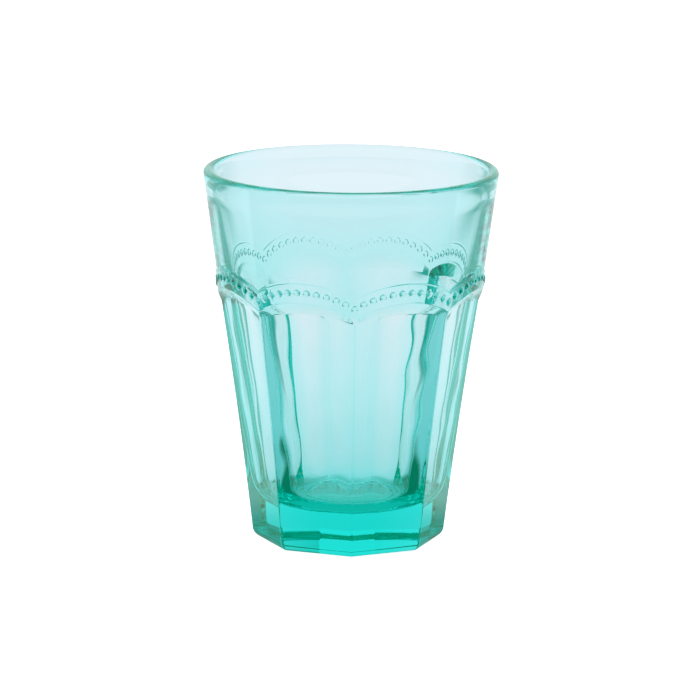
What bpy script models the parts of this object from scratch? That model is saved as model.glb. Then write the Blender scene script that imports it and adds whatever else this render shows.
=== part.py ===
"""Pressed-glass tumbler: one piece of glass, flat panels below a beaded, scalloped band.

Metres, +Z up. The origin is the middle of the foot, and a corner between two panels faces -Y.
"""

import math

import bmesh
import bpy

# Body, outside
HEIGHT = 0.1097
RIM_RADIUS = 0.0430  # at the widest of the lip
LIP_OUTER_WIDTH = 0.0015  # rounding of the lip's outside, over to its top
LIP_OUTER_HEIGHT = 0.0014
BAND_RADIUS = 0.0385  # plain cone at the height of the scallops' points
FOOT_RADIUS = 0.0280  # corner of the panels at the table
CORNER_BOW = 0.0004  # how far the corners curve in, half-way up
HEEL_HEIGHT = 0.0023  # rounding between the panels and the foot
HEEL_TURN = 52.0  # degrees that it turns in before its edge
PANEL_COUNT = 8

# Cavity and foot
LIP_THICKNESS = 0.0026  # wall at the mouth, without the lip's bulge
LIP_BULGE = 0.0007  # how far the lip stands into the mouth
BULGE_START = 0.0080  # where the bulge starts and ends, from the top
BULGE_END = 0.0032
LIP_INNER_HEIGHT = 0.0017  # rounding of the lip's inside
FLOOR_THICKNESS = 0.0117
FLOOR_RADIUS = 0.0215  # cavity wall carried down to the floor
FLOOR_FILLET = 0.0080
CAVITY_BOW = 0.0004  # how far its wall curves out, half-way up
RECESS_RADIUS = 0.0205  # shallow hollow under the foot
RECESS_DEPTH = 0.0005

# Scalloped band
SCALLOP_HEIGHT = 0.0755  # line of beads where two scallops meet
SCALLOP_RISE = 0.0042  # line of beads at the middle of a panel, above that
RIBBON_ABOVE = 0.0024  # ribbon's edges from the line of beads
RIBBON_BELOW = 0.0028
RIBBON_TOP_RELIEF = 0.0001  # ribbon's edges proud of the cone
RIBBON_FOOT_RELIEF = 0.0004
RIBBON_EDGE = 0.0006  # height of the slope at the ribbon's top
LEDGE_LEAST = 0.0017  # height of the slope from the ribbon's foot to the panels
LEDGE_STEEP = 0.80  # and its extra height for each metre that it goes in
LEDGE_ENDS = 0.14  # share of the slope that rounds off at each end
BEAD_COUNT = 11  # from point to point of a scallop, with one on each point
BEAD_RADIUS = 0.0010
BEAD_RELIEF = 0.00036

# Fineness of the curved surfaces
LIP_STEPS = 3
FILLET_STEPS = 4
WALL_STEPS = 4
BULGE_STEPS = 3
LEDGE_STEPS = 4
PANEL_STEPS = 5
HEEL_STEPS = 3
RECESS_STEPS = 2
BEAD_ROWS = (1.0, 0.5, 0.0, -0.5, -1.0)
BEAD_SIDES = (0.0, 0.5, 1.0)

# Glass
GLASS_COLOUR = (0.50, 0.89, 0.87, 1.0)
GLASS_ROUGHNESS = 0.02
GLASS_IOR = 1.52

PANEL_ANGLE = 2 * math.pi / PANEL_COUNT
HALF_PANEL = PANEL_ANGLE / 2
HALF_WIDTH = BAND_RADIUS * HALF_PANEL  # half a scallop, along the cone's outside
ARCH_RADIUS = (HALF_WIDTH**2 + SCALLOP_RISE**2) / (2 * SCALLOP_RISE)
LIP_HEIGHT = HEIGHT - LIP_OUTER_HEIGHT  # where the lip is widest
LIP_CREST = RIM_RADIUS - LIP_OUTER_WIDTH  # top of the lip
LIP_FOOT = HEIGHT - LIP_INNER_HEIGHT  # where the lip's inside starts to round over
BULGE_FOOT = HEIGHT - BULGE_START
FIRST_PANEL = -math.pi / 2 + HALF_PANEL  # middle of the first panel


def cone_radius(z):
    """Outside of the plain cone between the band and the lip."""
    slope = (RIM_RADIUS - BAND_RADIUS) / (LIP_HEIGHT - SCALLOP_HEIGHT)
    return BAND_RADIUS + slope * (z - SCALLOP_HEIGHT)


def corner_radius(z):
    """Corner between two panels, a line from the foot to the band that bows in a little."""
    share = z / SCALLOP_HEIGHT
    bow = 4 * CORNER_BOW * share * (1 - share)
    return FOOT_RADIUS + (BAND_RADIUS - FOOT_RADIUS) * share - bow


def panel_radius(turn, z, inset=0.0):
    """Flat panel, at an angle from its middle, set in by a distance square to it."""
    apothem = corner_radius(z) * math.cos(HALF_PANEL) - inset
    return apothem / math.cos(turn)


def lip_bulge(z):
    """How far the lip stands into the mouth at a height."""
    share = (z - BULGE_FOOT) / (BULGE_START - BULGE_END)
    share = min(1.0, max(0.0, share))
    return LIP_BULGE * share**2 * (3 - 2 * share)


def cavity_radius(z):
    """Wall of the cavity, a line from the floor to the mouth that bows out, without the fillet."""
    share = (z - FLOOR_THICKNESS) / (LIP_HEIGHT - FLOOR_THICKNESS)
    bow = 4 * CAVITY_BOW * share * (1 - share)
    line = FLOOR_RADIUS + (RIM_RADIUS - LIP_THICKNESS - FLOOR_RADIUS) * share
    return line + bow - lip_bulge(z)


def arch_height(across):
    """Height of the line of beads, at a distance round the cone from a panel's middle."""
    sagitta = ARCH_RADIUS - math.sqrt(ARCH_RADIUS**2 - across**2)
    return SCALLOP_HEIGHT + SCALLOP_RISE - sagitta


def ribbon_relief(offset):
    """How far the ribbon stands out of the cone, at a height from the line of beads."""
    share = (RIBBON_ABOVE - offset) / (RIBBON_ABOVE + RIBBON_BELOW)
    return RIBBON_TOP_RELIEF + (RIBBON_FOOT_RELIEF - RIBBON_TOP_RELIEF) * share


def soft_line(share):
    """Straight from 0 to 1, with rounded ends."""
    end = LEDGE_ENDS
    if share < end:
        return share**2 / (2 * end * (1 - end))
    if share > 1 - end:
        return 1 - (1 - share) ** 2 / (2 * end * (1 - end))
    return (share - end / 2) / (1 - end)


def ledge_drop(turn, across):
    """Height of the slope from the ribbon's foot to the panel."""
    z = arch_height(across) - RIBBON_BELOW
    depth = cone_radius(z) + RIBBON_FOOT_RELIEF - panel_radius(turn, z)
    return LEDGE_LEAST + LEDGE_STEEP * depth


def bead_places():
    """Middles of one scallop's beads, equally spaced along the arch, both points included."""
    half_arc = math.asin(HALF_WIDTH / ARCH_RADIUS)
    pitch = 2 * half_arc / BEAD_COUNT
    return [ARCH_RADIUS * math.sin(-half_arc + pitch * k) for k in range(BEAD_COUNT + 1)]


def bead_relief(across, offset, bead):
    """Height of a bead's dome at a point of the ribbon."""
    away = math.hypot(across - bead, arch_height(across) + offset - arch_height(bead))
    return BEAD_RELIEF * max(0.0, 1 - (away / BEAD_RADIUS) ** 2)


def plain_columns():
    """Places across a panel of the columns through the middles of the beads, the left corner first."""
    return [(bead, bead) for bead in bead_places()[:-1]]


def bead_columns():
    """Places across a panel of every column over the beads, each with its bead."""
    places = bead_places()
    columns = []
    for left, right in zip(places, places[1:]):
        columns += [(left + step * BEAD_RADIUS, left) for step in BEAD_SIDES]
        columns.append(((left + right) / 2, None))
        columns += [(right - step * BEAD_RADIUS, right) for step in reversed(BEAD_SIDES[1:])]
    return columns


def corner_columns():
    """The panel's left corner alone, for the flat stretch of the panels."""
    return [(-HALF_WIDTH, None)]


def ring(columns, place):
    """Points once round the glass. place gives (radius, height) for a column and its bead."""
    points = []
    for panel in range(PANEL_COUNT):
        middle = FIRST_PANEL + panel * PANEL_ANGLE
        for across, bead in columns:
            turn = across / BAND_RADIUS
            radius, z = place(turn, across, bead)
            points.append((radius * math.cos(middle + turn), radius * math.sin(middle + turn), z))
    return points


def level_ring(radius, z):
    """A round ring at one height."""
    return ring(plain_columns(), lambda turn, across, bead: (radius, z))


def cavity_rings():
    """Floor, fillet and wall of the cavity, from the middle of the floor up."""
    fillet_z = FLOOR_THICKNESS + FLOOR_FILLET
    lean = math.atan2(cavity_radius(fillet_z) - FLOOR_RADIUS, FLOOR_FILLET)
    # The fillet's centre lies its own radius away from the leaning wall
    fillet_middle = cavity_radius(fillet_z) - FLOOR_FILLET / math.cos(lean)
    rings = []
    for step in range(FILLET_STEPS + 1):
        swing = (math.pi / 2 - lean) * step / FILLET_STEPS
        z = fillet_z - FLOOR_FILLET * math.cos(swing)
        rings.append(level_ring(fillet_middle + FLOOR_FILLET * math.sin(swing), z))
    wall_foot = z  # top of the fillet
    for step in range(1, WALL_STEPS + 1):
        z = wall_foot + (BULGE_FOOT - wall_foot) * step / WALL_STEPS
        rings.append(level_ring(cavity_radius(z), z))
    for step in range(1, BULGE_STEPS):
        z = BULGE_FOOT + (LIP_FOOT - BULGE_FOOT) * step / BULGE_STEPS
        rings.append(level_ring(cavity_radius(z), z))
    return rings


def lip_rings():
    """Rounded lip, from the cavity over the top to the outside."""
    inner_width = LIP_CREST - cavity_radius(LIP_FOOT)
    rings = []
    for step in range(LIP_STEPS + 1):
        swing = math.pi / 2 * step / LIP_STEPS
        radius = LIP_CREST - inner_width * math.cos(swing)
        rings.append(level_ring(radius, LIP_FOOT + LIP_INNER_HEIGHT * math.sin(swing)))
    for step in range(1, LIP_STEPS + 1):
        swing = math.pi / 2 * step / LIP_STEPS
        radius = LIP_CREST + LIP_OUTER_WIDTH * math.sin(swing)
        rings.append(level_ring(radius, LIP_HEIGHT + LIP_OUTER_HEIGHT * math.cos(swing)))
    return rings


def ribbon_ring(columns, offset, relief):
    """A ring that follows the scallops at a height from the beads, proud of the cone by relief."""

    def place(turn, across, bead):
        z = arch_height(across) + offset
        dome = 0.0 if bead is None else bead_relief(across, offset, bead)
        return cone_radius(z) + relief + dome, z

    return ring(columns, place)


def band_rings():
    """Ribbon with its beads, from the cone down to the ribbon's foot."""
    plain, beads = plain_columns(), bead_columns()
    rings = [
        ribbon_ring(plain, RIBBON_ABOVE + RIBBON_EDGE, 0.0),
        ribbon_ring(plain, RIBBON_ABOVE, RIBBON_TOP_RELIEF),
    ]
    for row in BEAD_ROWS:
        offset = row * BEAD_RADIUS
        rings.append(ribbon_ring(beads, offset, ribbon_relief(offset)))
    rings.append(ribbon_ring(plain, -RIBBON_BELOW, RIBBON_FOOT_RELIEF))
    return rings


def ledge_rings():
    """Slope from the ribbon's foot down to the panels."""
    rings = []
    for step in range(1, LEDGE_STEPS + 1):
        share = step / LEDGE_STEPS
        ease = soft_line(share)

        def place(turn, across, bead):
            z = arch_height(across) - RIBBON_BELOW - ledge_drop(turn, across) * share
            ribbon = cone_radius(z) + RIBBON_FOOT_RELIEF
            return ribbon + (panel_radius(turn, z) - ribbon) * ease, z

        rings.append(ring(plain_columns(), place))
    return rings


def panel_rings():
    """Flat panels, from under the ledge to the heel, as their corners."""
    top = SCALLOP_HEIGHT - RIBBON_BELOW - ledge_drop(-HALF_PANEL, -HALF_WIDTH)
    rings = []
    for step in range(1, PANEL_STEPS + 1):
        z = top + (HEEL_HEIGHT - top) * step / PANEL_STEPS
        rings.append(ring(corner_columns(), lambda turn, across, bead: (panel_radius(turn, z), z)))
    return rings


def foot_rings():
    """Heel, the flat ring that the glass stands on, and the hollow inside it."""
    heel_radius = HEEL_HEIGHT / math.sin(math.radians(HEEL_TURN))
    rings = []
    for step in range(1, HEEL_STEPS + 1):
        swing = math.radians(HEEL_TURN) * step / HEEL_STEPS
        z = HEEL_HEIGHT - heel_radius * math.sin(swing)
        inset = heel_radius * (1 - math.cos(swing))

        def place(turn, across, bead):
            return panel_radius(turn, z, inset), z

        rings.append(ring(corner_columns(), place))
    for step in range(RECESS_STEPS):
        share = 1 - step / RECESS_STEPS
        rings.append(level_ring(RECESS_RADIUS * share, RECESS_DEPTH * (1 - share**2)))
    return rings


def join_rings(mesh, first, second):
    """Faces between two rings. Where one has more columns, its extra points join the same face."""
    count = min(len(first), len(second))
    first_step, second_step = len(first) // count, len(second) // count
    for k in range(count):
        above = [first[i % len(first)] for i in range(k * first_step, (k + 1) * first_step + 1)]
        below = [second[i % len(second)] for i in range(k * second_step, (k + 1) * second_step + 1)]
        mesh.faces.new([*above, *reversed(below)])


def close_ring(mesh, points, centre, forward):
    """A fan of triangles from a ring to a point on the axis."""
    middle = mesh.verts.new(centre)
    for k, point in enumerate(points):
        after = points[(k + 1) % len(points)]
        mesh.faces.new((middle, point, after) if forward else (middle, after, point))


def make_glass_material():
    """Clear aqua glass."""
    material = bpy.data.materials.new("aqua_glass")
    material.use_nodes = True
    shader = material.node_tree.nodes["Principled BSDF"]
    shader.inputs["Base Color"].default_value = GLASS_COLOUR
    shader.inputs["Roughness"].default_value = GLASS_ROUGHNESS
    shader.inputs["Metallic"].default_value = 0.0
    shader.inputs["IOR"].default_value = GLASS_IOR
    shader.inputs["Transmission Weight"].default_value = 1.0
    return material


def make_tumbler():
    """The whole glass, as rings joined from the floor of the cavity over the lip to the foot."""
    outline = [
        *cavity_rings(),
        *lip_rings(),
        *band_rings(),
        *ledge_rings(),
        *panel_rings(),
        *foot_rings(),
    ]
    mesh = bmesh.new()
    rings = [[mesh.verts.new(point) for point in points] for points in outline]
    close_ring(mesh, rings[0], (0, 0, FLOOR_THICKNESS), True)
    for first, second in zip(rings, rings[1:]):
        join_rings(mesh, second, first)
    close_ring(mesh, rings[-1], (0, 0, RECESS_DEPTH), False)
    data = bpy.data.meshes.new("tumbler")
    mesh.to_mesh(data)
    mesh.free()
    data.shade_smooth()
    data.set_sharp_from_angle(angle=math.radians(25))
    tumbler = bpy.data.objects.new("tumbler", data)
    tumbler.data.materials.append(make_glass_material())
    bpy.context.scene.collection.objects.link(tumbler)


def main():
    for old in list(bpy.data.objects):
        bpy.data.objects.remove(old)
    make_tumbler()


main()
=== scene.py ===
import math

import bmesh
import bpy
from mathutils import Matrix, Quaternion, Vector


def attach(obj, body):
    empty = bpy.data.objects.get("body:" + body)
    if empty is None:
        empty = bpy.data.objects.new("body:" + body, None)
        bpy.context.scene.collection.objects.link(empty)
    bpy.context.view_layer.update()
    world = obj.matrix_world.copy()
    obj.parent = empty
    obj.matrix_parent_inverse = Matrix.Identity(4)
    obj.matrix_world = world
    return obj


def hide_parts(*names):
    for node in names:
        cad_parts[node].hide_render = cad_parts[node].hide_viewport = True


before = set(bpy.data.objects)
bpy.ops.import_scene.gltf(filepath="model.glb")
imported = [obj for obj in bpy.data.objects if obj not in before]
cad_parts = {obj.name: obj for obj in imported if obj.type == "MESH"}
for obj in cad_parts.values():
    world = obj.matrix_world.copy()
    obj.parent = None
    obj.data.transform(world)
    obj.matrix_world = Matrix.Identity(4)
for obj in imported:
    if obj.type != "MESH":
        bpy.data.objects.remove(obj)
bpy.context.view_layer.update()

# The glass, in metres: the sizes of the solid that it replaces, and finer roundings
glassShape = {
    "height": 0.1097,
    "rimRadius": 0.0430,
    "lipThickness": 0.0026,  # wall at the mouth, without the lip's bulge
    "lipBulge": 0.0007,  # how far the lip stands into the mouth
    "bulgeReach": (0.0080, 0.0032),  # where the bulge starts and ends, from the top
    "lipOuter": (0.0015, 0.0014),  # width and height of the lip's rounding, outside
    "lipInner": 0.0017,  # and its height inside
    "lipLean": 9.0,  # degrees of the round where the walls run into it
    "bandRadius": 0.0385,  # plain cone at the scallops' points
    "footRadius": 0.0280,  # panel corners at the table
    "cornerBow": 0.0004,  # how far the corners curve in, half-way up the panels
    "cornerRound": 0.0018,  # rounding of the edges between panels
    "leastRound": 0.0002,  # what is left of it at the foot, at least
    "heelHeight": 0.0023,
    "heelTurn": 52.0,  # degrees that the heel turns in, before its edge
    "heelEdge": 0.0003,
    "panelCount": 8,
    "floorThickness": 0.0117,
    "floorRadius": 0.0215,
    "floorFillet": 0.0080,
    "cavityBow": 0.0004,  # how far the cavity's wall curves out, half-way up
    "recessRadius": 0.0205,
    "recessDepth": 0.0005,
}

beadedBand = {
    "scallopHeight": 0.0755,
    "scallopRise": 0.0042,
    "ribbonAbove": 0.0024,
    "ribbonBelow": 0.0028,
    "topRelief": (0.00016, 0.0003),  # at the back and at the front
    "footRelief": 0.0004,
    "topEdge": 0.0006,  # height of the slope at the ribbon's top
    "plainGap": 0.0006,  # and of the plain strip over it
    "ledgeLeast": 0.0017,  # slope under the ribbon: this, and more where it goes in deeper
    "ledgeSteep": 0.80,
    "ledgeEnds": 0.14,  # share of the slope that rounds off at each end
    "beadCount": 11,  # from point to point, with one on each point
    "beadRadius": 0.0010,
    "beadRelief": (0.00024, 0.00062),  # likewise
    "beadFullness": 0.6,  # 1 is a low dome, 0.5 a full one
    # Where the slope came out softer: angle and reach in degrees, and how much taller it is
    "softPlaces": ((140.0, 24.0, 2.4), (84.0, 26.0, 0.35)),
}

pressWaves = {  # unevenness that the plunger leaves inside
    "depth": 0.000025,
    "fadeTop": 0.0040,  # they end this far over the scallops' points
    "fadeLength": 0.0120,
    # Waves round the glass, turn per metre of height, and start
    "runs": ((9, 270, 0.3), (-12, 410, 1.9), (14, -330, 4.1), (-5, 520, 2.7), (17, 190, 5.2)),
}

shape = {**glassShape, **beadedBand}
panelAngle = 2 * math.pi / shape["panelCount"]
halfPanel = panelAngle / 2
halfWidth = shape["bandRadius"] * halfPanel
archRadius = (halfWidth**2 + shape["scallopRise"] ** 2) / (2 * shape["scallopRise"])
lipHeight = shape["height"] - shape["lipOuter"][1]
firstPanel = -math.pi / 2 + halfPanel


def smoothStep(t):
    t = min(1.0, max(0.0, t))
    return t * t * (3 - 2 * t)


def softLine(t, end):  # straight from 0 to 1, with rounded ends
    if t < end:
        return t * t / (2 * end * (1 - end))
    if t > 1 - end:
        return 1 - (1 - t) ** 2 / (2 * end * (1 - end))
    return (t - end / 2) / (1 - end)


def coneRadius(z):
    slope = (shape["rimRadius"] - shape["bandRadius"]) / (lipHeight - shape["scallopHeight"])
    return shape["bandRadius"] + slope * (z - shape["scallopHeight"])


def cornerRadius(z):
    share = z / shape["scallopHeight"]
    bow = 4 * shape["cornerBow"] * share * (1 - share)
    return shape["footRadius"] + (shape["bandRadius"] - shape["footRadius"]) * share - bow


def panelRadius(turn, z, inset=0.0):  # flat panel with rounded corners
    apothem = cornerRadius(z) * math.cos(halfPanel) - inset
    roundness = max(shape["cornerRound"] - inset, shape["leastRound"])
    centre = (apothem - roundness) / math.cos(halfPanel)
    tangent = math.atan2(centre * math.sin(halfPanel), apothem)
    if abs(turn) <= tangent:
        return apothem / math.cos(turn)
    off = halfPanel - abs(turn)
    return centre * math.cos(off) + math.sqrt(roundness**2 - (centre * math.sin(off)) ** 2)


def cavityRadius(z):
    mouth = shape["rimRadius"] - shape["lipThickness"]
    share = (z - shape["floorThickness"]) / (lipHeight - shape["floorThickness"])
    bow = 4 * shape["cavityBow"] * share * (1 - share)
    start, end = shape["bulgeReach"]
    bulge = shape["lipBulge"] * smoothStep((z - shape["height"] + start) / (start - end))
    return shape["floorRadius"] + (mouth - shape["floorRadius"]) * share + bow - bulge


def waviness(angle, z):
    waves = (math.sin(n * angle + k * z + start) for n, k, start in pressWaves["runs"])
    return pressWaves["depth"] * sum(waves)


def archHeight(across):  # line of beads over a panel
    sagitta = archRadius - math.sqrt(archRadius**2 - across**2)
    return shape["scallopHeight"] + shape["scallopRise"] - sagitta


def beadPlaces():
    halfArc = math.asin(halfWidth / archRadius)
    pitch = 2 * halfArc / shape["beadCount"]
    return [archRadius * math.sin(-halfArc + pitch * k) for k in range(shape["beadCount"] + 1)]


beads = beadPlaces()


def backToFront(levels, angle):
    back, front = levels
    return back + (front - back) * (1 - math.sin(angle)) / 2


def beadDome(across, offset, angle):
    nearest = min(beads, key=lambda bead: abs(bead - across))
    away = math.hypot(across - nearest, archHeight(across) + offset - archHeight(nearest))
    dome = max(0.0, 1 - (away / shape["beadRadius"]) ** 2) ** shape["beadFullness"]
    return backToFront(shape["beadRelief"], angle) * dome


def ribbonRadius(across, offset, angle):  # ribbon and beads, at a height from the line of beads
    above, below = shape["ribbonAbove"], shape["ribbonBelow"]
    share = min(1.0, max(0.0, (above - offset) / (above + below)))
    top = backToFront(shape["topRelief"], angle)
    relief = top + (shape["footRelief"] - top) * share
    relief *= smoothStep((above + shape["topEdge"] - offset) / shape["topEdge"])
    return coneRadius(archHeight(across) + offset) + relief + beadDome(across, offset, angle)


def ledgeDrop(turn, across, angle):  # height of the slope from the ribbon's foot to the panel
    z = archHeight(across) - shape["ribbonBelow"]
    depth = coneRadius(z) + shape["footRelief"] - panelRadius(turn, z)
    soft = 1.0
    for middle, reach, share in shape["softPlaces"]:
        away = (math.degrees(angle) - middle + 180) % 360 - 180
        soft += share * math.exp(-((away / reach) ** 2))
    return (shape["ledgeLeast"] + shape["ledgeSteep"] * depth) * soft


glassSteps = {  # rows and columns of the mesh
    "floor": 8,
    "fillet": 14,
    "wall": 60,
    "lip": 16,
    "cone": 12,
    "topEdge": 6,
    "ribbonTop": 4,
    "bead": 20,
    "dome": 8,
    "ribbonFoot": 6,
    "ledge": 16,
    "ledgeFine": 3,  # rows of it that have the beads' columns
    "panel": 40,
    "heel": 8,
    "heelEdge": 4,
    "recess": 10,
}

cornerColumns = {  # how far the columns at a corner stand from it
    "pitch": 0.00006,
    "count": 7,
    "rest": (0.00054, 0.0007, 0.00085),
}

# Columns round the glass: every ring is made of one of these sets, the coarse ones inside the fine
cornerSteps = [cornerColumns["pitch"] * (k + 1) for k in range(cornerColumns["count"])]
cornerSteps += [*cornerColumns["rest"], shape["beadRadius"]]
domeTurn = math.pi / 2 / glassSteps["dome"]
domeSteps = [shape["beadRadius"] * math.sin(domeTurn * (k + 1)) for k in range(glassSteps["dome"])]


def columnSets():
    fine, panel, plain = set(), set(), set()
    for left, right in zip(beads, beads[1:]):
        plain.update((left, (left + right) / 2))
        fine.update(left + step for step in domeSteps if left != beads[0])
        fine.update(right - step for step in domeSteps if right != beads[-1])
    panel.update(beads[0] + step for step in cornerSteps)
    panel.update(beads[-1] - step for step in cornerSteps)
    panel |= plain
    fine |= panel
    return [sorted(columns) for columns in (fine, panel, plain)]


fineColumns, panelColumns, plainColumns = columnSets()


class Skin:  # rings of points round the axis, joined in the order that they are added
    def __init__(self, name):
        self.name = name
        self.mesh = bmesh.new()
        self.last = None

    def cap(self, z):
        self.middle = self.mesh.verts.new((0, 0, z))

    def ring(self, columns, place):
        points = []
        for panel in range(shape["panelCount"]):
            middle = firstPanel + panel * panelAngle
            for across in columns:
                turn = across / shape["bandRadius"]
                angle = middle + turn
                radius, z = place(turn, across, angle)
                point = (radius * math.cos(angle), radius * math.sin(angle), z)
                points.append(((panel, across), self.mesh.verts.new(point)))
        if self.last:
            self.join(self.last, points)
        else:
            self.fan(points, True)
        self.last = points

    def fan(self, points, forward):
        verts = [vert for key, vert in points]
        for k, vert in enumerate(verts):
            after = verts[(k + 1) % len(verts)]
            self.mesh.faces.new((self.middle, vert, after) if forward else (self.middle, after, vert))

    def join(self, first, second):
        shared = {key for key, vert in first} & {key for key, vert in second}
        firstRuns, secondRuns = self.runs(first, shared), self.runs(second, shared)
        for above, below in zip(firstRuns, secondRuns):
            self.mesh.faces.new([*below, *reversed(above)])

    def runs(self, points, shared):  # stretches between the columns that both rings have
        stops = [k for k, (key, vert) in enumerate(points) if key in shared]
        verts = [vert for key, vert in points]
        verts.append(verts[0])
        stops.append(len(points))
        return [verts[a : b + 1] for a, b in zip(stops, stops[1:])]

    def close(self, z):
        self.middle = self.mesh.verts.new((0, 0, z))
        self.fan(self.last, False)

    def finish(self):
        data = bpy.data.meshes.new(self.name)
        self.mesh.to_mesh(data)
        self.mesh.free()
        data.shade_smooth()
        piece = bpy.data.objects.new(self.name, data)
        bpy.context.scene.collection.objects.link(piece)
        return piece


floorEdge = {  # low ridge that the plunger's tip leaves round the floor
    "height": 0.00026,
    "width": 0.0011,
    "steps": 8,
    "teeth": 44,
    "unevenness": 0.5,
}


def addCavity(skin):
    filletZ = shape["floorThickness"] + shape["floorFillet"]
    lean = math.atan2(cavityRadius(filletZ) - cavityRadius(shape["floorThickness"]), shape["floorFillet"])
    filletMiddle = cavityRadius(filletZ) - shape["floorFillet"] / math.cos(lean)
    skin.cap(shape["floorThickness"])
    for step in range(1, glassSteps["floor"]):
        radius = (filletMiddle - floorEdge["width"]) * step / glassSteps["floor"]
        skin.ring(plainColumns, lambda turn, across, angle: (radius, shape["floorThickness"]))
    for step in range(floorEdge["steps"]):
        share = step / floorEdge["steps"]
        radius = filletMiddle - floorEdge["width"] * (1 - share)
        ridge = floorEdge["height"] * math.sin(math.pi * share) ** 2

        def place(turn, across, angle):
            uneven = 1 + floorEdge["unevenness"] * math.sin(floorEdge["teeth"] * angle)
            return radius, shape["floorThickness"] + ridge * uneven

        skin.ring(plainColumns, place)
    for step in range(glassSteps["fillet"] + 1):
        share = step / glassSteps["fillet"]
        swing = (math.pi / 2 - lean) * share
        radius = filletMiddle + shape["floorFillet"] * math.sin(swing)
        z = filletZ - shape["floorFillet"] * math.cos(swing)
        skin.ring(plainColumns, lambda turn, across, angle: (radius + share * waviness(angle, z), z))
    fadeTop = shape["scallopHeight"] + pressWaves["fadeTop"]
    for step in range(1, glassSteps["wall"]):
        share = step / glassSteps["wall"]
        height = z + (innerLipFoot() - z) * share
        fade = smoothStep((fadeTop - height) / pressWaves["fadeLength"])  # the top is even

        def place(turn, across, angle):
            return cavityRadius(height) + fade * waviness(angle, height), height

        skin.ring(plainColumns, place)


def innerLipFoot():  # height where the cavity's wall runs into the lip
    return shape["height"] - shape["lipInner"] * (1 - math.sin(math.radians(shape["lipLean"])))


def addLip(skin):
    lean = math.radians(shape["lipLean"])
    wide, high = shape["lipOuter"]
    crest = shape["rimRadius"] - wide
    inside = (crest - cavityRadius(innerLipFoot())) / math.cos(lean)
    for step in range(glassSteps["lip"] + 1):
        swing = lean + (math.pi / 2 - lean) * step / glassSteps["lip"]
        radius = crest - inside * math.cos(swing)
        z = shape["height"] - shape["lipInner"] * (1 - math.sin(swing))
        skin.ring(plainColumns, lambda turn, across, angle: (radius, z))
    for step in range(1, glassSteps["lip"] + 1):
        swing = math.pi / 2 - (math.pi / 2 + lean) * step / glassSteps["lip"]
        radius = crest + wide * math.cos(swing)
        z = shape["height"] - high * (1 - math.sin(swing))
        skin.ring(plainColumns, lambda turn, across, angle: (radius, z))


def addCone(skin):
    top = shape["ribbonAbove"] + shape["topEdge"] + shape["plainGap"]
    for step in range(1, glassSteps["cone"] + 1):
        share = step / glassSteps["cone"]

        def place(turn, across, angle):
            start = lipHeight - shape["lipOuter"][1] * math.sin(math.radians(shape["lipLean"]))
            z = start + (archHeight(across) + top - start) * share
            return coneRadius(z), z

        skin.ring(plainColumns, place)


def ribbonOffsets():  # heights of the ribbon's rows from the line of beads
    above, below, bead = shape["ribbonAbove"], shape["ribbonBelow"], shape["beadRadius"]
    edge, top, dome, foot = [glassSteps[name] for name in ("topEdge", "ribbonTop", "bead", "ribbonFoot")]
    rows = [above + shape["topEdge"] * (1 - k / edge) for k in range(edge + 1)]
    rows += [above + (bead - above) * k / top for k in range(1, top)]
    rows += [bead * math.cos(math.pi / dome * k) for k in range(dome + 1)]
    rows += [-bead + (bead - below) * k / foot for k in range(1, foot + 1)]
    return rows


def addBand(skin):
    for offset in ribbonOffsets():

        def place(turn, across, angle):
            return ribbonRadius(across, offset, angle), archHeight(across) + offset

        skin.ring(fineColumns, place)
    for step in range(1, glassSteps["ledge"] + 1):
        share = step / glassSteps["ledge"]
        ease = softLine(share, shape["ledgeEnds"])

        def place(turn, across, angle):
            z = archHeight(across) - shape["ribbonBelow"] - ledgeDrop(turn, across, angle) * share
            ribbon, panel = coneRadius(z) + shape["footRelief"], panelRadius(turn, z)
            return ribbon + (panel - ribbon) * ease, z

        skin.ring(fineColumns if step < glassSteps["ledgeFine"] else panelColumns, place)


def addPanels(skin):
    for step in range(1, glassSteps["panel"] + 1):
        share = step / glassSteps["panel"]

        def place(turn, across, angle):
            top = archHeight(across) - shape["ribbonBelow"] - ledgeDrop(turn, across, angle)
            z = top + (shape["heelHeight"] - top) * share
            return panelRadius(turn, z), z

        skin.ring(panelColumns, place)


def addFoot(skin):
    heelTurn, edge = math.radians(shape["heelTurn"]), shape["heelEdge"]
    wide = (shape["heelHeight"] - edge * (1 - math.sin(heelTurn))) / math.sin(heelTurn)
    for step in range(1, glassSteps["heel"] + 1):
        swing = heelTurn * step / glassSteps["heel"]
        z = shape["heelHeight"] - wide * math.sin(swing)
        inset = wide * (1 - math.cos(swing))
        skin.ring(panelColumns, lambda turn, across, angle: (panelRadius(turn, z, inset), z))
    heelInset = inset - edge * (1 - math.cos(heelTurn))
    for step in range(1, glassSteps["heelEdge"] + 1):
        swing = heelTurn + (math.pi / 2 - heelTurn) * step / glassSteps["heelEdge"]
        z = edge * (1 - math.sin(swing))
        inset = heelInset + edge * (1 - math.cos(swing))
        skin.ring(panelColumns, lambda turn, across, angle: (panelRadius(turn, z, inset), z))
    for step in range(glassSteps["recess"]):
        share = 1 - step / glassSteps["recess"]
        radius = shape["recessRadius"] * share
        depth = shape["recessDepth"] * (1 - share**2)
        skin.ring(plainColumns, lambda turn, across, angle: (radius, depth))
    skin.close(shape["recessDepth"])


def feed(tree, socket, value):  # with a link or a plain value
    if isinstance(value, bpy.types.NodeSocket):
        tree.links.new(value, socket)
    elif value is not None:
        socket.default_value = value


def addMath(tree, operation, first, second=None):
    node = tree.nodes.new("ShaderNodeMath")
    node.operation = operation
    feed(tree, node.inputs[0], first)
    feed(tree, node.inputs[1], second)
    return node.outputs[0]


def addVector(tree, operation, first, second=None):
    node = tree.nodes.new("ShaderNodeVectorMath")
    node.operation = operation
    feed(tree, node.inputs[0], first)
    feed(tree, node.inputs[1], second)
    return node.outputs["Value"] if operation == "LENGTH" else node.outputs["Vector"]


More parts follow.
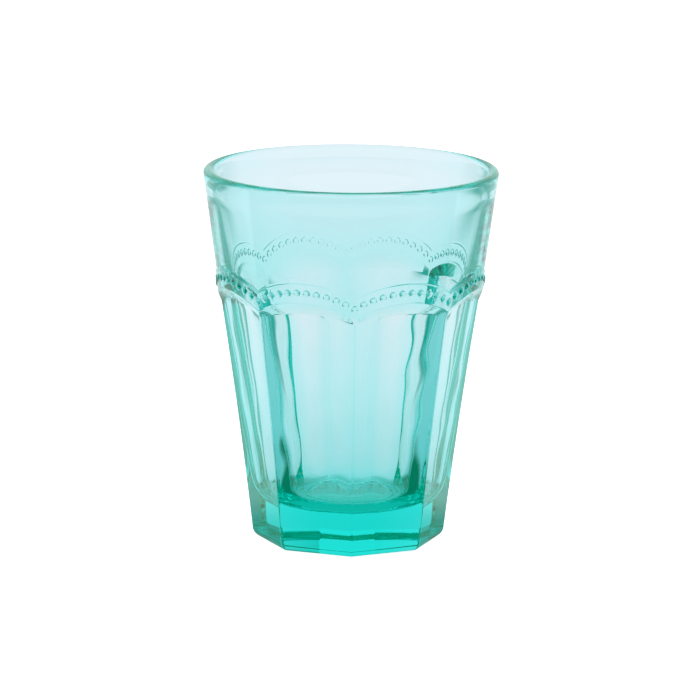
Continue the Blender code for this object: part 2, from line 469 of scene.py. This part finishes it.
def addRange(tree, value, edges, levels):  # soft step between two levels
    node = tree.nodes.new("ShaderNodeMapRange")
    node.interpolation_type = "SMOOTHSTEP"
    tree.links.new(value, node.inputs["Value"])
    for name, number in zip(("From Min", "From Max", "To Min", "To Max"), (*edges, *levels)):
        node.inputs[name].default_value = number
    return node.outputs[0]


def mixColour(tree, factor, first, second):
    node = tree.nodes.new("ShaderNodeMix")
    node.data_type = "RGBA"
    tree.links.new(factor, node.inputs["Factor"])
    feed(tree, node.inputs[6], first)  # the node's two colours
    feed(tree, node.inputs[7], second)
    return node.outputs[2]


aquaGlass = {
    "ior": 1.52,
    "absorbColour": (0.0, 0.966, 0.925, 1.0),
    "absorbDensity": 76.0,
    "clear": (1.0, 1.0, 1.0, 1.0),
    "cloudy": (0.985, 1.0, 0.998, 1.0),  # faint streaks in the melt
    "streakScale": (60.0, 60.0, 14.0),  # stretched up the glass, as the plunger draws it
    "streakDetail": 3.0,
    "cloudEdges": (0.35, 0.65),  # where a streak starts to be cloudy, and is
    "dullEdges": (0.45, 0.75),  # and dull
    "roughness": (0.0, 0.012),
    "skinScale": 420.0,  # chilled skin from the mould
    "skinDetail": 1.0,
    "skinDepth": 0.0000012,
}


def makePressedGlassGroup():  # streaks and skin of pressed glass, from a place on it
    group = bpy.data.node_groups.new("pressedGlass", "ShaderNodeTree")
    group.interface.new_socket("Place", in_out="INPUT", socket_type="NodeSocketVector")
    group.interface.new_socket("Skin Scale", in_out="INPUT", socket_type="NodeSocketFloat")
    group.interface.new_socket("Streaks", in_out="OUTPUT", socket_type="NodeSocketFloat")
    group.interface.new_socket("Skin", in_out="OUTPUT", socket_type="NodeSocketFloat")
    start = group.nodes.new("NodeGroupInput")
    end = group.nodes.new("NodeGroupOutput")
    streaks = group.nodes.new("ShaderNodeTexNoise")
    streaks.inputs["Scale"].default_value = 1.0  # the place is scaled instead
    streaks.inputs["Detail"].default_value = aquaGlass["streakDetail"]
    stretched = addVector(group, "MULTIPLY", start.outputs["Place"], aquaGlass["streakScale"])
    group.links.new(stretched, streaks.inputs["Vector"])
    skin = group.nodes.new("ShaderNodeTexNoise")
    skin.inputs["Detail"].default_value = aquaGlass["skinDetail"]
    group.links.new(start.outputs["Place"], skin.inputs["Vector"])
    group.links.new(start.outputs["Skin Scale"], skin.inputs["Scale"])
    group.links.new(streaks.outputs[0], end.inputs["Streaks"])
    group.links.new(skin.outputs[0], end.inputs["Skin"])
    return group


def makeAquaGlass():
    material = bpy.data.materials.new("aquaGlass")
    material.use_nodes = True
    tree = material.node_tree
    nodes, links = tree.nodes, tree.links
    shader = nodes["Principled BSDF"]
    pressed = nodes.new("ShaderNodeGroup")
    pressed.node_tree = makePressedGlassGroup()
    pressed.inputs["Skin Scale"].default_value = aquaGlass["skinScale"]
    links.new(nodes.new("ShaderNodeTexCoord").outputs["Object"], pressed.inputs["Place"])
    streaks = pressed.outputs["Streaks"]
    cloud = addRange(tree, streaks, aquaGlass["cloudEdges"], (0.0, 1.0))
    colour = mixColour(tree, cloud, aquaGlass["clear"], aquaGlass["cloudy"])
    links.new(colour, shader.inputs["Base Color"])
    dull = addRange(tree, streaks, aquaGlass["dullEdges"], aquaGlass["roughness"])
    links.new(dull, shader.inputs["Roughness"])
    bump = nodes.new("ShaderNodeBump")
    bump.inputs["Distance"].default_value = aquaGlass["skinDepth"]
    links.new(pressed.outputs["Skin"], bump.inputs["Height"])
    links.new(bump.outputs["Normal"], shader.inputs["Normal"])
    shader.inputs["Metallic"].default_value = 0.0
    shader.inputs["IOR"].default_value = aquaGlass["ior"]
    shader.inputs["Transmission Weight"].default_value = 1.0
    absorb = nodes.new("ShaderNodeVolumeAbsorption")
    absorb.inputs["Color"].default_value = aquaGlass["absorbColour"]
    absorb.inputs["Density"].default_value = aquaGlass["absorbDensity"]
    links.new(absorb.outputs["Volume"], nodes["Material Output"].inputs["Volume"])
    print("glass:", len(nodes), "nodes")
    return material


def makeTumbler():
    skin = Skin("aquaTumbler")
    addCavity(skin)
    addLip(skin)
    addCone(skin)
    addBand(skin)
    addPanels(skin)
    addFoot(skin)
    piece = skin.finish()
    piece.data.materials.append(makeAquaGlass())
    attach(piece, "root")
    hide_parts("tumbler")
    print("tumbler:", len(piece.data.polygons), "faces")


studio = {
    "floorSize": 6.0,
    "floorDrop": 0.0003,
    "floorGlow": 0.8,
    "floorPaint": (0.9, 0.9, 0.9, 1.0),
    "white": (1.0, 1.0, 1.0, 1.0),
    "backLight": (1.0, 0.93, 1.0, 1.0),  # the set as it shows through the glass
    "mirrored": (0.92, 0.97, 1.0, 1.0),  # and as it shows in reflections
    "sideLight": (0.42, 0.70, 0.73, 1.0),  # left and right of the glass
    "sideEdges": (0.75, 1.10),  # azimuth where it starts, in radians from the back
    "flagLight": (0.0, 0.34, 0.28, 1.0),  # darker stretches, left and right behind the glass
    "flagStart": (0.50, 0.68),
    "flagEnd": (1.00, 1.20),
    "rearStart": (0.22, 0.36),  # they come nearer to the middle on the rear of the table
    "rearReach": (0.27, 0.40),
    "frontLight": (0.16, 0.38, 0.36, 1.0),  # over the camera's side of the floor
    "frontEdges": (1.90, 2.30),
    "overhead": (0.45, 0.53, 0.55, 1.0),  # ceiling
    "paintedUnderLight": (0.02, 0.58, 0.50, 1.0),  # painted light that the glass throws under itself
    "paintedUnderReach": (0.024, 0.032),
    "shadow": (0.005, 0.20, 0.11, 1.0),  # the glass's own shadow round that
    "shadowReach": (0.038, 0.048),
    "shadowPlace": (0.0, 0.010, 0.0),
    "shadowStretch": (0.62, 1.3, 1.0),
    "contactShade": (0.25, 0.22, 0.22, 1.0),  # painted shade on the floor close to the glass, in reflections
    "paintedContactReach": (0.034, 0.062),
    "frontShade": (0.0, 0.06, 0.06, 1.0),  # and before it
    "frontReach": (-0.030, -0.015),
    "nearShadeLevel": 0.90,  # painted shade: brightness of the floor close to the glass
    "nearShadeReach": (0.05, 0.18),
    "farReach": (0.095, 0.16),  # floor from where the darker stretches show
    "overheadHeight": (0.58, 0.82),  # upward share of a direction, where the ceiling starts
}


def makeStudioGroup():  # colours of the set in a direction from the glass
    group = bpy.data.node_groups.new("studioSet", "ShaderNodeTree")
    group.interface.new_socket("Direction", in_out="INPUT", socket_type="NodeSocketVector")
    for name in ("Near", "Far", "Rear", "Above"):
        group.interface.new_socket(name, in_out="OUTPUT", socket_type="NodeSocketColor")
    start = group.nodes.new("NodeGroupInput")
    end = group.nodes.new("NodeGroupOutput")
    split = group.nodes.new("ShaderNodeSeparateXYZ")
    group.links.new(start.outputs["Direction"], split.inputs[0])
    azimuth = addMath(group, "ABSOLUTE", addMath(group, "ARCTAN2", split.outputs["X"], split.outputs["Y"]))
    side = addRange(group, azimuth, studio["sideEdges"], (0.0, 1.0))
    near = mixColour(group, side, studio["backLight"], studio["sideLight"])
    within = addRange(group, azimuth, studio["flagEnd"], (1.0, 0.0))
    flag = addMath(group, "MULTIPLY", within, addRange(group, azimuth, studio["flagStart"], (0.0, 1.0)))
    rearFlag = addMath(group, "MULTIPLY", within, addRange(group, azimuth, studio["rearStart"], (0.0, 1.0)))
    far = mixColour(group, flag, near, studio["flagLight"])
    rear = mixColour(group, rearFlag, near, studio["flagLight"])
    front = addRange(group, azimuth, studio["frontEdges"], (0.0, 1.0))
    above = mixColour(group, front, far, studio["frontLight"])
    for name, colour in (("Near", near), ("Far", far), ("Rear", rear), ("Above", above)):
        group.links.new(colour, end.inputs[name])
    return group


def addStudio(tree, group, direction):
    node = tree.nodes.new("ShaderNodeGroup")
    node.node_tree = group
    tree.links.new(direction, node.inputs["Direction"])
    return node.outputs


def makeFloorPaint(group):
    material = bpy.data.materials.new("studioFloor")
    material.use_nodes = True
    tree = material.node_tree
    nodes, links = tree.nodes, tree.links
    nodes.remove(nodes["Principled BSDF"])
    path = nodes.new("ShaderNodeLightPath")
    place = nodes.new("ShaderNodeNewGeometry").outputs["Position"]
    colours = addStudio(tree, group, place)
    radius = addVector(tree, "LENGTH", place)
    # painted shade: the floor that the glass sees is darker close to it
    near = addRange(tree, radius, studio["nearShadeReach"], (studio["nearShadeLevel"], 1.0))
    far = addRange(tree, radius, studio["farReach"], (0.0, 1.0))
    reach = addVector(tree, "ADD", place, studio["shadowPlace"])
    reach = addVector(tree, "MULTIPLY", reach, studio["shadowStretch"])
    shadow = addRange(tree, addVector(tree, "LENGTH", reach), studio["shadowReach"], (1.0, 0.0))
    # painted light under the glass, seen only by the glass's rays
    under = addRange(tree, radius, studio["paintedUnderReach"], (1.0, 0.0))
    colour = mixColour(tree, far, colours["Near"], colours["Far"])
    rear = addRange(tree, radius, studio["rearReach"], (0.0, 1.0))
    colour = mixColour(tree, rear, colour, colours["Rear"])
    colour = mixColour(tree, shadow, colour, studio["shadow"])
    colour = mixColour(tree, under, colour, studio["paintedUnderLight"])
    split = nodes.new("ShaderNodeSeparateXYZ")
    links.new(place, split.inputs[0])
    front = addRange(tree, split.outputs["Y"], studio["frontReach"], (1.0, 0.0))
    # painted shade on the floor close to and before the glass, for reflections
    contactShade = addRange(tree, radius, studio["paintedContactReach"], (1.0, 0.0))
    mirrored = mixColour(tree, contactShade, studio["mirrored"], studio["contactShade"])
    mirrored = mixColour(tree, front, mirrored, studio["frontShade"])
    colour = mixColour(tree, path.outputs["Is Reflection Ray"], colour, mirrored)
    seen = nodes.new("ShaderNodeEmission")  # what the glass shows of the floor, with painted shadow, painted light and painted shade
    links.new(colour, seen.inputs["Color"])
    links.new(near, seen.inputs["Strength"])
    glow = nodes.new("ShaderNodeEmission")
    glow.inputs["Color"].default_value = studio["white"]
    glow.inputs["Strength"].default_value = studio["floorGlow"]
    paint = nodes.new("ShaderNodeBsdfDiffuse")
    paint.inputs["Color"].default_value = studio["floorPaint"]
    plain = nodes.new("ShaderNodeAddShader")
    links.new(glow.outputs[0], plain.inputs[0])
    links.new(paint.outputs[0], plain.inputs[1])
    through = addMath(tree, "MAXIMUM", path.outputs["Is Glossy Ray"], path.outputs["Is Transmission Ray"])
    choose = nodes.new("ShaderNodeMixShader")
    links.new(through, choose.inputs["Fac"])
    links.new(plain.outputs[0], choose.inputs[1])
    links.new(seen.outputs[0], choose.inputs[2])
    links.new(choose.outputs[0], nodes["Material Output"].inputs["Surface"])
    return material


def makeFloor(group):
    mesh = bmesh.new()
    bmesh.ops.create_grid(mesh, x_segments=1, y_segments=1, size=studio["floorSize"] / 2)
    data = bpy.data.meshes.new("studioFloor")
    mesh.to_mesh(data)
    mesh.free()
    floor = bpy.data.objects.new("studioFloor", data)
    floor.location.z = -studio["floorDrop"]
    floor.data.materials.append(makeFloorPaint(group))
    bpy.context.scene.collection.objects.link(floor)
    print("floor:", studio["floorSize"], "m wide")


def makeWorld(group):
    world = bpy.data.worlds.new("studioWorld")
    world.use_nodes = True
    tree = world.node_tree
    nodes, links = tree.nodes, tree.links
    path = nodes.new("ShaderNodeLightPath")
    direction = nodes.new("ShaderNodeTexCoord").outputs["Generated"]
    colours = addStudio(tree, group, direction)
    split = nodes.new("ShaderNodeSeparateXYZ")
    links.new(direction, split.inputs[0])
    overhead = addRange(tree, split.outputs["Z"], studio["overheadHeight"], (0.0, 1.0))
    colour = mixColour(tree, overhead, colours["Above"], studio["overhead"])
    mirrored = mixColour(tree, overhead, studio["mirrored"], studio["overhead"])
    colour = mixColour(tree, path.outputs["Is Reflection Ray"], colour, mirrored)
    through = addMath(tree, "MAXIMUM", path.outputs["Is Glossy Ray"], path.outputs["Is Transmission Ray"])
    links.new(mixColour(tree, through, studio["white"], colour), nodes["Background"].inputs["Color"])
    bpy.context.scene.world = world
    print("world:", len(nodes), "nodes")


viewpoint = {
    "distance": 1.5,
    "elevation": 11.85,  # degrees
    "azimuth": 2.0,
    "roll": 0.48,
    "lens": 263.7,
    "sensor": 36.0,
    "clipEnd": 50.0,
    "target": (0.0001, 0.0, 0.0556),
}


def makeCamera():
    lift, side = math.radians(viewpoint["elevation"]), math.radians(viewpoint["azimuth"])
    target = Vector(viewpoint["target"])
    away = Vector((-math.sin(side) * math.cos(lift), -math.cos(side) * math.cos(lift), math.sin(lift)))
    data = bpy.data.cameras.new("photoCamera")
    data.lens = viewpoint["lens"]
    data.sensor_width = viewpoint["sensor"]
    data.clip_end = viewpoint["clipEnd"]
    camera = bpy.data.objects.new("photoCamera", data)
    camera.location = target + away * viewpoint["distance"]
    facing = (-away).to_track_quat("-Z", "Y") @ Quaternion((0, 0, 1), math.radians(viewpoint["roll"]))
    camera.rotation_euler = facing.to_euler()
    bpy.context.scene.collection.objects.link(camera)
    bpy.context.scene.camera = camera
    print("camera:", viewpoint["distance"], "m away")


lightBounces = {
    "all": 32,
    "glossy": 24,
    "transmission": 24,
}


def main():
    scene = bpy.context.scene
    scene.view_settings.view_transform = "Standard"
    scene.cycles.max_bounces = lightBounces["all"]
    scene.cycles.glossy_bounces = lightBounces["glossy"]
    scene.cycles.transmission_bounces = lightBounces["transmission"]
    makeTumbler()
    group = makeStudioGroup()
    makeFloor(group)
    makeWorld(group)
    makeCamera()


main()
